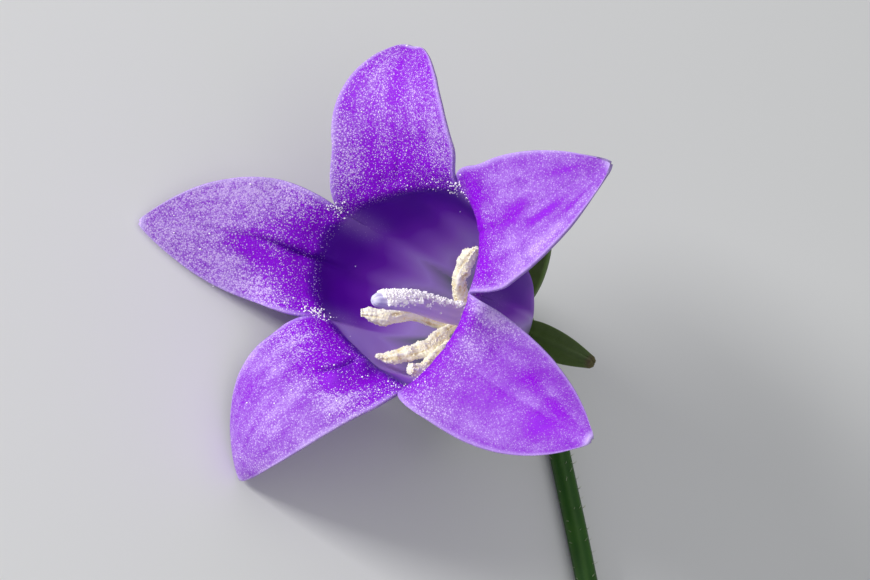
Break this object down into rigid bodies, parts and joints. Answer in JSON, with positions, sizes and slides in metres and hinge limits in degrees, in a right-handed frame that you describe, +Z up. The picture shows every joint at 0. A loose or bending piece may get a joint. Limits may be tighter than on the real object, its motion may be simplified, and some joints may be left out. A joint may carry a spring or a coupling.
{
  "type": "bellflower bloom on a cut stem",
  "caption": "Open violet bellflower bloom on its own cut stem with narrow leaves, lying as picked.",
  "frame": {"origin": "centre of the small flat spot under the lowest calyx lobe, on the table the bloom lies on", "axes": "+Z up from the table, -Y along the stem to its cut end, -X the way the bloom faces"},
  "size_m": [0.0429, 0.112, 0.0259],
  "materials": {
    "petal": "soft violet petal with a fine sparkling grain",
    "calyx_green": "dark green, slightly waxy",
    "style_lavender": "pale lavender, dusted with white pollen",
    "anther_cream": "matte cream, powdery",
    "stem_green": "dull green, finely ribbed",
    "leaf_green": "dull green with a paler midrib"
  },
  "bodies": {
    "root": {"corolla": "petal", "calyx": "calyx_green", "style": "style_lavender", "stamens": "anther_cream", "stem": "stem_green", "leaf_1": "leaf_green", "leaf_2": "leaf_green", "leaf_3": "leaf_green"}
  },
  "joints": []
}
